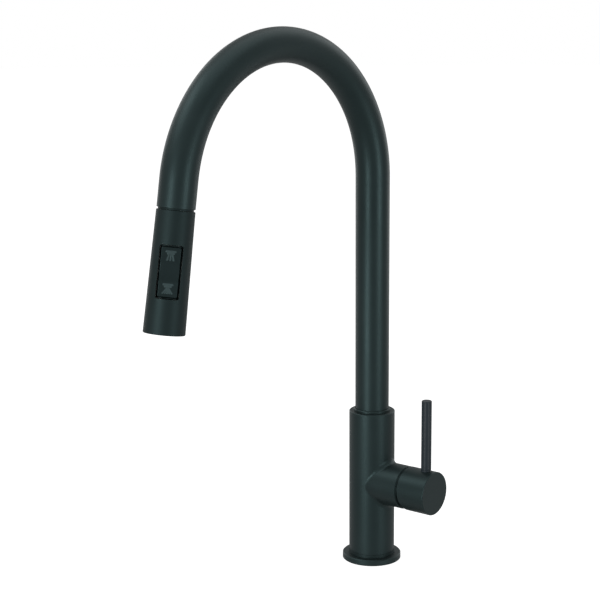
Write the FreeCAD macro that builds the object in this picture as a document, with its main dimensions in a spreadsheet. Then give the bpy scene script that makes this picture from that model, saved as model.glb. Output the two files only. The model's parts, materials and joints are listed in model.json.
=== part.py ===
"""Pull-down kitchen mixer tap with a swivelling gooseneck spout, a pull-out two-jet spray head
and a side lever, as separate pieces.

The frame's origin is on the body's axis where the base flange meets the worktop, with +Z up.
The spout reaches towards -Y and the lever's hub points along +X. All sizes are in millimetres.
"""
import FreeCAD, Part
import math
import os
import re

import Sketcher
from FreeCAD import Placement, Rotation, Vector

# The driving dimensions, one group per assembly: name, value.
SIZES = {
    # fixing to the worktop
    "worktop_gap": 30, "flange_radius": 24.5, "flange_height": 5, "flange_edge": 0.6,
    "seal_outer": 22.5, "seal_inner": 18.5, "seal_height": 1.5,
    "foot_ring_radius": 19.5, "foot_ring_height": 2.6,
    "spigot_radius": 17, "spigot_depth": 6,
    "stud_radius": 4, "stud_offset": 8, "stud_spacing": 19, "stud_bury": 14, "stud_tail": 60,
    "plate_radius": 26, "plate_height": 2, "pad_height": 3, "plate_stud_hole": 4.3,
    "plate_slot_half": 15.6, "plate_hose_hole": 6.8,
    "nut_flats": 13, "nut_height": 14,
    # valve body
    "body_radius": 19, "body_top": 128.8, "body_edge": 0.5,
    "passage_radius": 5.8, "port_radius": 4.5, "port_circle": 11.5, "port_depth": 14,
    "port_angle": 60, "drilling_radius": 2.5, "drilling_x": 10, "drilling_y": 6,
    "boss_radius": 17.9, "boss_end": 36, "boss_blend": 4,
    "seat_x": 14, "hot_port_rise": 3.2, "mixed_port_drop": 6.8,
    "cartridge_radius": 12.5, "bore_clearance": 0.05, "thread_radius": 14, "thread_start": 27,
    # spout and its bearings in the body
    "tube_radius": 14, "tube_wall": 1, "tube_foot": 92, "bend_start": 324.2,
    "arch_radius": 108.7, "arch_angle": 170.76, "tube_tail": 20.4,
    "socket_radius": 15, "socket_floor": 85.5, "running": 0.05,
    "lip_height": 2.2, "neck_ring_length": 16, "lower_bush_length": 10,
    "insert_bore": 8, "insert_top": 106, "insert_foot": 86,
    "clip_height": 1.4, "clip_low": 88.2, "clip_inner": 12.9, "clip_outer": 15.6,
    "o_ring_section": 0.44, "o_ring_low": 107, "o_ring_step": 2.6,
    "dock_gap": 1.5, "dock_length": 16, "dock_bore": 11.3, "dock_rim": 12.9, "dock_mouth": 0.8,
    "dock_lift": 0.15, "spout_turn": 3.325,
    # pull-out hose
    "hose_radius": 4.75, "hose_shift": 7, "hose_end": 17, "hose_foot": 52,
    "plug_radius": 5.5, "plug_length": 16, "ferrule_radius": 6.1, "ferrule_top": 28,
    "ferrule_foot": 15.4, "nipple_radius": 8.7,
    # spray head, measured down from its top
    "head_top_radius": 14.05, "head_foot_radius": 15.35, "head_length": 88.3, "head_wall": 1.9,
    "head_turn": 44, "head_edge": 0.3, "neck_hole": 9.2,
    "inlet_radius": 9, "inlet_top": 8, "inlet_bore": 6, "coupling_nut_radius": 11.2,
    "window_centre": 43.5, "window_width": 16.8, "window_length": 38.4, "window_corner": 1.6,
    "window_gap": 0.45, "frame_rim": 0.5, "frame_front": 12.2, "frame_back": 7.3,
    "button_gap": 0.45, "button_front": 12.3, "button_back": 10.3, "button_hollow": 0.7,
    "pin_depth": 9.5, "pin_radius": 1, "pin_boss": 1.9,
    "core_radius": 11.2, "core_flat": 6.3, "core_foot": 76, "spool_bore": 3.6,
    "spool_radius": 3.5, "spool_top": 34, "spool_foot": 55, "spool_groove": 2.2,
    "fork_width": 2, "fork_height": 1.9,
    "poppet_radius": 3.9, "spring_radius": 2.5, "spring_wire": 0.3, "spring_pitch": 2.2,
    "spring_length": 8.6, "spring_foot": -5.6,
    "face_top": 80.4, "mat_height": 1.6, "face_foot": 87.2, "nozzle_foot": 87.9,
    "nozzle_radius": 0.6, "nozzle_hole": 0.75, "aerator_radius": 7, "aerator_wall": 1.1,
    # handle and cartridge, measured out along +X
    "handle_height": 68.1, "pivot_x": 30, "hub_radius": 18, "hub_rear": 37.5, "hub_end": 63.45,
    "hub_bore": 16, "hub_wall": 48.5, "hub_edge": 0.6, "bevel_start": 4, "bevel_slope": 0.182,
    "lever_x": 54.9, "lever_radius": 4.2, "lever_top": 145.4, "lever_edge": 0.45,
    "lever_seat": 17, "lever_spigot": 2.5, "lever_spigot_foot": 6,
    "stem_half": 3.5, "stem_end": 57.5, "stem_radius": 3.2, "stem_neck": 1.3,
    "ball_x": 23.3, "ball_radius": 2.2, "stem_square": 35.4, "pivot_radius": 1.2, "pivot_length": 14,
    "grub_radius": 2, "grub_length": 8, "plug_cap_radius": 2.5, "plug_cap_height": 2.6,
    "base_height": 2.4, "disc_height": 2.2, "fixed_disc_radius": 9.6, "moving_disc_radius": 9,
    "disc_offset": 1.15, "carrier_height": 4.6, "cup_wall": 1.1, "rotor_neck": 7.85,
    "cup_end": 29, "rotor_end": 33.6,
    "dome_radius": 17.2, "dome_wall": 1.2, "dome_mouth": 10.8, "dome_flange": 17,
    # clearances, and how far a cut runs past a face
    "slack": 0.1, "end_gap": 0.2,
    # flange foot
    "foot_edge": 0.3,
    # neck ring and clip
    "lip_width": 0.25, "lip_edge": 0.5, "lip_lean": 0.15, "clip_reach": 6, "clip_gap": 4,
    # hose plug, ferrule and nipple
    "plug_edge": 1, "plug_groove_foot": 9, "plug_groove_top": 7, "plug_groove": 1.2,
    "ferrule_edge": 0.6, "ferrule_lead": 0.8, "crimp_top": 24, "crimp": 0.4, "crimp_foot": 20.8,
    "nipple_bore": 2.6, "nipple_foot": 9.9, "nipple_top": 12.1, "nipple_stem": 5.2,
    # rocker tray and boss
    "tray_floor": 0.9, "fork_slot_width": 4.4, "fork_slot_height": 6, "tray_radius": 12.9,
    "thumb_radius": 30, "boss_length": 10, "fork_gap": 0.9,
    # waterway core and spool
    "funnel_radius": 8.6, "funnel_start": 12, "funnel_end": 16, "inlet_step": 14,
    "inlet_foot": 11, "fork_port": 2, "fork_travel": 2.6, "ring_depth": 0.9, "ring_offset": 5,
    "ring_half": 0.6, "ring_section": 0.45,
    # spray head inlet and its non-return valve
    "nut_bore": 5.4, "nut_floor": 12.3, "nut_foot": 0.3, "nut_top": 14.7, "nut_edge": 0.8,
    "washer_bore": 3.4, "washer_radius": 8.8, "valve_mouth": 3, "valve_top": 7.5,
    "valve_radius": 5.9, "valve_foot": 8, "valve_bore": 4.9, "valve_seat": 5.5,
    "guide_rib": 1.2, "guide_height": 1.6, "guide_foot": 7.6, "stem_rod": 1, "poppet_foot": 4.1,
    "stem_shoulder": 1.6, "shoulder_foot": 3.3, "stem_foot": 7.8,
    # spray face and aerator
    "face_gap": 0.15, "inner_nozzles": 9, "outer_nozzles": 11.3, "cup_mouth": 2.5,
    "cup_top": 1.2, "cup_roof": 2.6, "insert_height": 3, "insert_lift": 0.9, "jet_radius": 0.8,
    "jet_circle": 3.3,
    # cartridge seals and collar
    "seal_width": 0.9, "port_seal_height": 1.15, "seal_slack": 0.02, "disc_port": 2.2,
    "collar_bore": 9.4,
    "collar_end": 33.4, "collar_edge": 1.2,
    # dome cover
    "dome_flange_height": 0.6, "dome_step": 3.4, "dome_spigot": 2.4, "spigot_bury": 0.8,
    "dome_spigot_wall": 1.4,
    # rotor, disc and stem
    "rotor_gap": 0.3, "stem_slot": 12.4, "mixing_radius": 5, "mixing_depth": 1.2,
    "ball_gap": 0.06,
    # hub edges
    "bore_edge": 0.4, "rear_edge": 0.3,
}

doc = FreeCAD.newDocument("pull_down_tap")
sheet = doc.addObject("Spreadsheet::Sheet", "Sizes")
for row, (word, size) in enumerate(SIZES.items(), start=1):
    sheet.set(f"A{row}", word)
    sheet.set(f"B{row}", str(size))
    sheet.setAlias(f"B{row}", word)
doc.recompute()

nodes = []


def cell(formula):
    """The formula with each size named as a cell of the sheet."""
    return re.sub(r"([a-z]+(?:_[a-z]+)*)(?![a-z_(])", r"Sizes.\1", str(formula))


def value(formula):
    """What a formula of sizes comes to, in millimetres or degrees."""
    return float(sheet.evalExpression(cell(formula)))


def node(thing, label, frame=None):
    """Mark an object as a finished piece, named by its Label. A primitive keeps its own place
    inside a group, because the frame moves the group."""
    if frame is not None and thing.TypeId in ("Part::Cylinder", "Part::Box", "Part::Sphere"):
        thing = apart(thing)
    thing.Label = label
    if frame is not None:
        thing.Placement = frame
    nodes.append(thing)
    return thing


def bind(thing, **sizes):
    """Bind an object's properties to formulas of the sheet's cells."""
    for name, formula in sizes.items():
        thing.setExpression(name, cell(formula))


# ---------------------------------------------------------------- sketches and bodies


def new_body(label):
    """An empty Body and its origin's planes."""
    body = doc.addObject("PartDesign::Body", label + "_body")
    planes = {plane.Role: plane for plane in body.Origin.OriginFeatures}
    return body, planes


def sketch_on(body, planes, plane, name, lift=None):
    """A sketch on one of the body's own origin planes, lifted off it along its normal."""
    sketch = body.newObject("Sketcher::SketchObject", name)
    sketch.AttachmentSupport = (planes[plane], [""])
    sketch.MapMode = "FlatFace"
    if lift is not None:
        sketch.setExpression("AttachmentOffset.Base.z", cell(lift))
    return sketch


def pin_point(sketch, geometry, position, at):
    """Tie one point of a sketch to a pair of formulas."""
    for kind, formula in zip(("DistanceX", "DistanceY"), at):
        size = value(formula)
        index = sketch.addConstraint(Sketcher.Constraint(kind, -1, 1, geometry, position, size))
        sketch.setExpression(f"Constraints[{index}]", cell(formula))


def polygon(sketch, corners):
    """A closed outline of straight lines through corners given as pairs of formulas."""
    first = len(sketch.Geometry)
    places = [Vector(value(across), value(up), 0) for across, up in corners]
    count = len(places)
    for index in range(count):
        sketch.addGeometry(Part.LineSegment(places[index], places[(index + 1) % count]))
    for index in range(count):
        after = first + (index + 1) % count
        sketch.addConstraint(Sketcher.Constraint("Coincident", first + index, 2, after, 1))
    for index, corner in enumerate(corners):
        pin_point(sketch, first + index, 1, corner)


def circle(sketch, at, radius):
    """A circle whose centre and radius are formulas."""
    centre = Vector(value(at[0]), value(at[1]), 0)
    index = sketch.addGeometry(Part.Circle(centre, Vector(0, 0, 1), value(radius)))
    pin_point(sketch, index, 3, at)
    size = sketch.addConstraint(Sketcher.Constraint("Radius", index, value(radius)))
    sketch.setExpression(f"Constraints[{size}]", cell(radius))


def turn(body, planes, outline, name="Turned"):
    """Revolve an outline of (radius, height) corners about the body's Z axis."""
    sketch = sketch_on(body, planes, "XZ_Plane", name + "Outline")
    polygon(sketch, outline)
    turned = body.newObject("PartDesign::Revolution", name)
    turned.Profile = sketch
    turned.ReferenceAxis = (sketch, ["V_Axis"])
    turned.Angle = 360
    return turned


def turned(label, outline, frame=None):
    """A piece that is one outline turned about its own Z axis."""
    body, planes = new_body(label)
    turn(body, planes, outline)
    return node(body, label, frame)


def ring(label, inner, outer, low, high, frame=None):
    """A plain ring, from one turned rectangle."""
    return turned(label, [(inner, low), (outer, low), (outer, high), (inner, high)], frame)


def cut(body, sketch, length, reverse=False, both=False):
    """Pocket a sketch into the body and make sure that it takes something away."""
    doc.recompute()
    before = body.Shape.Volume
    pocket = body.newObject("PartDesign::Pocket", "Pocket")
    pocket.Profile = sketch
    pocket.Length = value(length)
    pocket.setExpression("Length", cell(length))
    pocket.Reversed = reverse
    pocket.Midplane = both
    doc.recompute()
    if not body.Shape.Volume < before - 0.01:
        raise RuntimeError(f"the pocket in {body.Name} cuts nothing")
    return pocket


def soften(body, label, chosen, size, kind="Fillet"):
    """Fillet or chamfer the edges of the body's tip that the test picks."""
    doc.recompute()
    tip = body.Tip
    edges = [f"Edge{i}" for i, edge in enumerate(tip.Shape.Edges, start=1) if chosen(edge)]
    if not edges:
        raise RuntimeError(f"no edge to soften on {label}")
    feature = body.newObject("PartDesign::" + kind, label)
    feature.Base = (tip, edges)
    feature.setExpression("Radius" if kind == "Fillet" else "Size", cell(size))
    doc.recompute()
    return feature


# ---------------------------------------------------------------- primitives and booleans


def cylinder(radius, length, at=("0", "0", "0"), tilt=None):
    """A Part cylinder from a point, along Z or as a Rotation says."""
    rod = doc.addObject("Part::Cylinder", "Rod")
    bind(rod, Radius=radius, Height=length)
    if tilt is not None:
        rod.Placement = Placement(Vector(), tilt)
    for axis, formula in zip("xyz", at):
        rod.setExpression(f"Placement.Base.{axis}", cell(formula))
    return rod


def block(size, at):
    """A Part box with its low corner at a point."""
    box = doc.addObject("Part::Box", "Block")
    bind(box, Length=size[0], Width=size[1], Height=size[2])
    for axis, formula in zip("xyz", at):
        box.setExpression(f"Placement.Base.{axis}", cell(formula))
    return box


def ball(radius, at=("0", "0", "0")):
    """A Part sphere about a point."""
    sphere = doc.addObject("Part::Sphere", "Ball")
    bind(sphere, Radius=radius)
    for axis, formula in zip("xyz", at):
        sphere.setExpression(f"Placement.Base.{axis}", cell(formula))
    return sphere


def torus(radius, section, at=("0", "0", "0")):
    """A Part torus about a point, flat on XY."""
    loop = doc.addObject("Part::Torus", "Loop")
    bind(loop, Radius1=radius, Radius2=section)
    for axis, formula in zip("xyz", at):
        loop.setExpression(f"Placement.Base.{axis}", cell(formula))
    return loop


def less(base, *tools):
    """The base with each tool cut away."""
    for tool in tools:
        result = doc.addObject("Part::Cut", "Cut")
        result.Base = base
        result.Tool = tool
        base = result
    return base


def join(*things):
    """Solids fused into one object; ones that don't touch stay separate solids in it."""
    result = doc.addObject("Part::MultiFuse", "Join")
    result.Shapes = list(things)
    return result


def apart(*things):
    """Separate solids kept as one group."""
    result = doc.addObject("Part::Compound", "Group")
    result.Links = list(things)
    return result


# ---------------------------------------------------------------- the frames of the assemblies

arch = math.radians(value("arch_angle"))
down_head = Vector(0, -math.sin(arch), math.cos(arch))
bend_end = Vector(
    0,
    -value("arch_radius") * (1 - math.cos(arch)),
    value("bend_start") + value("arch_radius") * math.sin(arch),
)
tube_end = bend_end + down_head * value("tube_tail")
head_top = tube_end + down_head * value("dock_gap")
# the spout is stored turned a little about the body, away from straight ahead
spout_turn = Rotation(Vector(0, 0, 1), -value("spout_turn"))
head_top = spout_turn.multVec(head_top)

# the head's axis is local Z, its top is local zero and its button faces local -Y
tail_tilt = spout_turn.multiply(Rotation(Vector(1, 0, 0), value("arch_angle") - 180))
SPOUT = Placement(Vector(), spout_turn)
TAIL = Placement(head_top, tail_tilt)
HEAD = Placement(head_top, tail_tilt.multiply(Rotation(Vector(0, 0, 1), value("head_turn"))))
# the handle's axis is local Z, measured from the body's axis, and local X points down
HANDLE = Placement(Vector(0, 0, value("handle_height")), Rotation(Vector(0, 1, 0), 90))

ALONG_X = Rotation(Vector(0, 1, 0), 90)
ALONG_Y = Rotation(Vector(1, 0, 0), -90)
FOOT = "(flange_height + foot_ring_height)"


# ---------------------------------------------------------------- fixing to the worktop


def base_flange():
    """Round flange that the body stands on, with a recess below for the worktop seal."""
    body, planes = new_body("base_flange")
    turn(body, planes, [
        ("spigot_radius + slack", "0"), ("seal_inner", "0"), ("seal_inner", "seal_height"),
        ("seal_outer", "seal_height"), ("seal_outer", "0"),
        ("flange_radius - foot_edge", "0"), ("flange_radius", "foot_edge"),
        ("flange_radius", "flange_height - flange_edge"),
        ("flange_radius - flange_edge", "flange_height"),
        ("spigot_radius + slack", "flange_height"),
    ])
    node(body, "base_flange")


def horseshoe(label, low, height):
    """C-shaped washer under the worktop, open towards +X for the hose and the supply tails."""
    disc = cylinder("plate_radius", height, ("0", "0", low))
    slot = block(
        ("plate_radius + 1", "2 * plate_slot_half", f"{height} + 2"),
        ("0", "-plate_slot_half", f"{low} - 1"),
    )
    hose_hole = cylinder("plate_hose_hole", f"{height} + 2", ("0", "0", f"{low} - 1"))
    holes = [
        cylinder("plate_stud_hole", f"{height} + 2",
                 ("-stud_offset", f"{side} * stud_spacing / 2", f"{low} - 1"))
        for side in (-1, 1)
    ]
    node(less(disc, slot, hose_hole, *holes), label)


def fixing_studs():
    """Two threaded studs that hang from the body's spigot."""
    node(apart(*[
        cylinder("stud_radius", "stud_tail - spigot_depth + stud_bury",
                 ("-stud_offset", f"{side} * stud_spacing / 2", "-stud_tail"))
        for side in (-1, 1)
    ]), "fixing_studs")


def fixing_nuts():
    """The two long hexagon nuts that pull the horseshoe up against the worktop."""
    nuts = []
    top = "-worktop_gap - pad_height - plate_height"
    for side in (-1, 1):
        place = ("-stud_offset", f"{side} * stud_spacing / 2", f"{top} - nut_height")
        hexagon = doc.addObject("Part::Prism", "Hexagon")
        hexagon.Polygon = 6
        bind(hexagon, Circumradius="nut_flats / sqrt(3)", Height="nut_height")
        for axis, formula in zip("xyz", place):
            hexagon.setExpression(f"Placement.Base.{axis}", cell(formula))
        bore = cylinder("stud_radius", "nut_height + 2", (place[0], place[1], f"{place[2]} - 1"))
        nuts.append(less(hexagon, bore))
    node(apart(*nuts), "fixing_nuts")


# ---------------------------------------------------------------- valve body


def valve_body():
    """Brass body: spout socket above, hose passage on the axis, cartridge bore in the side boss,
    and drillings from the cartridge's seat to three ports in the spigot below."""
    shank = cylinder("spigot_radius", f"{FOOT} + spigot_depth + 1", ("0", "0", "-spigot_depth"))
    barrel = cylinder("body_radius", f"body_top - {FOOT}", ("0", "0", FOOT))
    boss = cylinder("boss_radius", "boss_end", ("0", "0", "handle_height"), ALONG_X)
    outside = doc.addObject("Part::MultiFuse", "BodyOutside")
    outside.Shapes = [shank, barrel, boss]
    doc.recompute()

    def where_boss_meets(edge):
        """The two curves along which the boss runs into the barrel."""
        box = edge.BoundBox
        curved = "Line" not in edge.Curve.TypeId and box.XLength > 1
        return curved and box.XMin > 1 and box.XMax < value("body_radius") + 0.01

    blended = doc.addObject("Part::Fillet", "BossBlend")
    blended.Base = outside
    size = value("boss_blend")
    blended.Edges = [
        (index, size, size)
        for index, edge in enumerate(outside.Shape.Edges, start=1) if where_boss_meets(edge)
    ]
    doc.recompute()

    def rim(edge):
        """The barrel's top rim and the boss's outer rim."""
        box = edge.BoundBox
        top = box.ZLength < 0.01 and box.ZMin > value("body_top") - 0.01
        mouth = box.XLength < 0.01 and box.XMin > value("boss_end") - 0.01
        return top or mouth

    edged = doc.addObject("Part::Chamfer", "BodyEdges")
    edged.Base = blended
    size = value("body_edge")
    edged.Edges = [
        (index, size, size)
        for index, edge in enumerate(blended.Shape.Edges, start=1) if rim(edge)
    ]
    doc.recompute()

    socket = cylinder("socket_radius", "body_top", ("0", "0", "socket_floor"))
    groove = cylinder("clip_outer + slack", "clip_height + 2 * slack", ("0", "0", "clip_low - slack"))
    passage = cylinder("passage_radius", "body_top", ("0", "0", "-spigot_depth - 1"))
    bore = cylinder(
        "cartridge_radius + bore_clearance", "boss_end", ("seat_x", "0", "handle_height"), ALONG_X
    )
    thread = cylinder(
        "thread_radius", "boss_end", ("thread_start", "0", "handle_height"), ALONG_X
    )
    tools = [socket, groove, passage, bore, thread]
    # three ports in the spigot's foot, and a drilling from each up to the cartridge's seat
    for angle, across, rise in (
        ("port_angle", "drilling_y", "hot_port_rise"),
        ("-port_angle", "-drilling_y", "hot_port_rise"),
        ("0", "0", "-mixed_port_drop"),
    ):
        tools.append(cylinder(
            "port_radius", "port_depth",
            (f"port_circle * cos({angle})", f"port_circle * sin({angle})", "-spigot_depth"),
        ))
        tools.append(cylinder(
            "drilling_radius", f"handle_height + {rise}",
            ("drilling_x", across, "0"),
        ))
        tools.append(cylinder(
            "drilling_radius", "seat_x - drilling_x + 1",
            ("drilling_x", across, f"handle_height + {rise}"), ALONG_X,
        ))
    for side in (-1, 1):
        tools.append(cylinder(
            "stud_radius", "stud_bury + end_gap",
            ("-stud_offset", f"{side} * stud_spacing / 2", "-spigot_depth"),
        ))
    node(less(edged, join(*tools)), "valve_body")


# ---------------------------------------------------------------- spout and its bearings


def spout_bearings():
    """Rings between the body's socket and the spout's foot."""
    inner = "tube_radius + running"
    outer = "socket_radius"
    turned("neck_ring", [
        (inner, "body_top - neck_ring_length"), (outer, "body_top - neck_ring_length"),
        (outer, "body_top"), ("socket_radius + lip_width", "body_top"),
        ("socket_radius + lip_width", "body_top + lip_height - lip_edge"),
        ("socket_radius - lip_lean", "body_top + lip_height"), (inner, "body_top + lip_height"),
    ])
    ring("lower_bush", inner, outer, "tube_foot + 1", "tube_foot + 1 + lower_bush_length")
    middle = "(tube_radius + socket_radius) / 2"
    node(apart(*[
        torus(middle, "o_ring_section", ("0", "0", f"o_ring_low + {step} * o_ring_step"))
        for step in range(2)
    ]), "spout_o_rings")
    low = "clip_low"
    high = "clip_low + clip_height"
    whole = less(cylinder("clip_outer", "clip_height", ("0", "0", low)),
                 cylinder("clip_inner", "clip_height + 2", ("0", "0", "clip_low - 1")))
    gap = block(
        ("clip_reach", "clip_gap", "clip_height + 2"),
        ("-clip_outer - 1", "-clip_gap / 2", f"{high} - clip_height - 1"),
    )
    node(less(whole, gap), "spout_clip")


def spout_insert():
    """Brass insert brazed into the tube's foot, grooved for the snap ring."""
    groove = "clip_inner - slack"
    turned("spout_insert", [
        ("insert_bore", "insert_foot"), ("tube_radius", "insert_foot"),
        ("tube_radius", "clip_low - slack"), (groove, "clip_low - slack"),
        (groove, "clip_low + clip_height + slack"),
        ("tube_radius", "clip_low + clip_height + slack"),
        ("tube_radius", "tube_foot"), ("tube_radius - tube_wall", "tube_foot"),
        ("tube_radius - tube_wall", "insert_top"), ("insert_bore", "insert_top"),
    ])


def bent_line(body, planes, name, foot, shift, tail):
    """A sketch of straight, arc and straight that follows the gooseneck. Shift slides both ends
    of the arc towards the crown, which makes its radius a little smaller."""
    path = sketch_on(body, planes, "YZ_Plane", name)
    half = arch / 2
    radius = value("arch_radius") - shift / math.tan(half)
    start = value("bend_start") + shift
    centre = Vector(-radius, start, 0)
    end = centre + Vector(radius * math.cos(arch), radius * math.sin(arch), 0)
    along = Vector(-math.sin(arch), math.cos(arch), 0)
    path.addGeometry(Part.LineSegment(Vector(0, foot, 0), Vector(0, start, 0)))
    path.addGeometry(Part.ArcOfCircle(Part.Circle(centre, Vector(0, 0, 1), radius), 0, arch))
    path.addGeometry(Part.LineSegment(end, end + along * tail))
    return path


def piped(label, foot, shift, tail, radii):
    """A rod or tube carried along the gooseneck's line."""
    body, planes = new_body(label)
    section = sketch_on(body, planes, "XY_Plane", "Section", foot)
    for radius in radii:
        circle(section, ("0", "0"), radius)
    path = bent_line(body, planes, "Line", value(foot), shift, tail)
    doc.recompute()
    pipe = body.newObject("PartDesign::AdditivePipe", "Pipe")
    pipe.Profile = section
    pipe.Spine = (path, ["Edge1", "Edge2", "Edge3"])
    doc.recompute()
    areas = [math.pi * value(radius) ** 2 for radius in radii]
    area = areas[0] - sum(areas[1:])
    length = sum(edge.Length for edge in path.Shape.Edges)
    if abs(body.Shape.Volume - area * length) > 0.01 * area * length:
        raise RuntimeError(f"{label} isn't its section times its length")
    node(body, label, SPOUT)


def spout_tube():
    """The bent gooseneck tube."""
    piped("spout_tube", "tube_foot", 0, value("tube_tail"),
          ("tube_radius", "tube_radius - tube_wall"))


def dock_bush():
    """Guide in the tube's mouth that the spray head's nut slides into and its top rests on."""
    outer = "tube_radius - tube_wall"
    turned("dock_bush", [
        ("dock_bore", "dock_gap + dock_length"), (outer, "dock_gap + dock_length"),
        (outer, "dock_gap"), ("dock_rim", "dock_gap"), ("dock_rim", "dock_lift"),
        ("dock_bore + dock_mouth", "dock_lift"), ("dock_bore", "2 * dock_mouth"),
    ], TAIL)


def hose():
    """Braided hose inside the spout, from the ferrule down to its plug under the worktop."""
    shift = value("hose_shift")
    tail = value("tube_tail + dock_gap") + shift - value("hose_end")
    piped("pull_out_hose", "-hose_foot", shift, tail, ("hose_radius",))
    turned("hose_plug", [
        ("0", "-hose_foot - plug_length"), ("plug_radius - plug_edge", "-hose_foot - plug_length"),
        ("plug_radius", "-hose_foot - plug_length + plug_edge"),
        ("plug_radius", "-hose_foot - plug_groove_foot"),
        ("plug_radius - plug_groove", "-hose_foot - plug_groove_foot"),
        ("plug_radius - plug_groove", "-hose_foot - plug_groove_top"),
        ("plug_radius", "-hose_foot - plug_groove_top"),
        ("plug_radius", "-hose_foot"),
        ("0", "-hose_foot"),
    ])


# ---------------------------------------------------------------- hose end, which the head turns on


def hose_coupling():
    """Crimped ferrule and the flanged nipple that the head's nut holds."""
    inner = "hose_radius + slack"
    turned("hose_ferrule", [
        (inner, "ferrule_top"), ("ferrule_radius - ferrule_edge", "ferrule_top"),
        ("ferrule_radius", "ferrule_top - ferrule_lead"), ("ferrule_radius", "crimp_top"),
        ("ferrule_radius - crimp", "crimp_top - ferrule_edge"),
        ("ferrule_radius - crimp", "crimp_foot + ferrule_edge"),
        ("ferrule_radius", "crimp_foot"), ("ferrule_radius", "ferrule_foot + ferrule_edge"),
        ("ferrule_radius - ferrule_edge", "ferrule_foot"), ("nipple_bore", "ferrule_foot"),
        ("nipple_bore", "hose_end - end_gap"), (inner, "hose_end - end_gap"),
    ], TAIL)
    turned("hose_nipple", [
        ("nipple_bore", "nipple_foot"), ("nipple_radius", "nipple_foot"),
        ("nipple_radius", "nipple_top"),
        ("nipple_stem", "nipple_top"), ("nipple_stem", "ferrule_foot"), ("nipple_bore", "ferrule_foot"),
    ], TAIL)


# ---------------------------------------------------------------- spray head


def head_shell():
    """Conical outer shell with a window for the rocker button."""
    inner_top = "head_top_radius - head_wall"
    inner_foot = "head_foot_radius - head_wall"
    body, planes = new_body("head_shell")
    turn(body, planes, [
        ("neck_hole", "0"), ("head_top_radius - head_edge", "0"),
        ("head_top_radius", "-head_edge"),
        ("head_foot_radius", "-head_length + head_edge"),
        ("head_foot_radius - head_edge", "-head_length"), (inner_foot, "-head_length"),
        (inner_top, "-head_wall"), ("neck_hole", "-head_wall"),
    ])
    window = sketch_on(body, planes, "XZ_Plane", "Window")
    half = "window_width / 2"
    polygon(window, [
        (f"-{half}", "-window_centre - window_length / 2"),
        (half, "-window_centre - window_length / 2"),
        (half, "-window_centre + window_length / 2"),
        (f"-{half}", "-window_centre + window_length / 2"),
    ])
    cut(body, window, "head_foot_radius + 1", reverse=True)

    def window_corner(edge):
        """The short edges through the wall at the window's four corners."""
        box = edge.BoundBox
        radial = box.YLength > 0.5 and box.XLength < 0.01 and box.ZLength < 0.01
        return radial and abs(abs(box.XMin) - value(half)) < 0.01

    soften(body, "WindowCorners", window_corner, "window_corner")
    return node(body, "head_shell", HEAD)


def rocker_parts():
    """Frame in the window, rocker button with its fork, and the pin that it tips on."""
    mid = "-window_centre"
    frame_width = "window_width - 2 * window_gap"
    frame_length = "window_length - 2 * window_gap"
    tray = block(
        (frame_width, "frame_front - frame_back + tray_floor", frame_length),
        (f"-({frame_width}) / 2", "-frame_front", f"{mid} - ({frame_length}) / 2"),
    )
    well_width = f"({frame_width} - 2 * frame_rim)"
    well_length = f"({frame_length} - 2 * frame_rim)"
    well = block(
        (well_width, "frame_front - frame_back + 1", well_length),
        (f"-{well_width} / 2", "-frame_front - 1", f"{mid} - {well_length} / 2"),
    )
    slot = block(
        ("fork_slot_width", "4", "fork_slot_height"),
        ("-fork_slot_width / 2", "-frame_back - 1", f"{mid} - fork_slot_height / 2"),
    )
    holes = cylinder("pin_radius", "window_width", ("-window_width / 2", "-pin_depth", mid), ALONG_X)
    # the corners are rounded to the shell's window
    around = cylinder("tray_radius", "head_length", ("0", "0", "-head_length"))
    outside = doc.addObject("Part::Common", "TrayInShell")
    outside.Base = less(tray, well, slot, holes)
    outside.Tool = around
    node(outside, "rocker_frame", HEAD)

    plate_width = f"({well_width} - 2 * button_gap)"
    plate_length = f"({well_length} - 2 * button_gap)"
    plate = block(
        (plate_width, "button_front - button_back", plate_length),
        (f"-{plate_width} / 2", "-button_front", f"{mid} - {plate_length} / 2"),
    )
    hollow = cylinder(
        "thumb_radius", f"{plate_width} + 2",
        (f"-{plate_width} / 2 - 1", "-button_front - thumb_radius + button_hollow", mid), ALONG_X,
    )
    boss = cylinder("pin_boss", "boss_length", ("-boss_length / 2", "-pin_depth", mid), ALONG_X)
    fork = block(
        ("fork_width", "pin_depth - spool_groove - fork_gap", "fork_height"),
        ("-fork_width / 2", "-pin_depth", f"{mid} - fork_height / 2"),
    )
    bore = cylinder("pin_radius + running", "window_width",
                    ("-window_width / 2", "-pin_depth", mid), ALONG_X)
    node(less(join(plate, boss, fork), hollow, bore), "rocker_button", HEAD)
    node(cylinder("pin_radius", f"{frame_width} - 2 * end_gap",
                  (f"-({frame_width}) / 2 + end_gap", "-pin_depth", mid), ALONG_X), "rocker_pin", HEAD)


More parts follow.
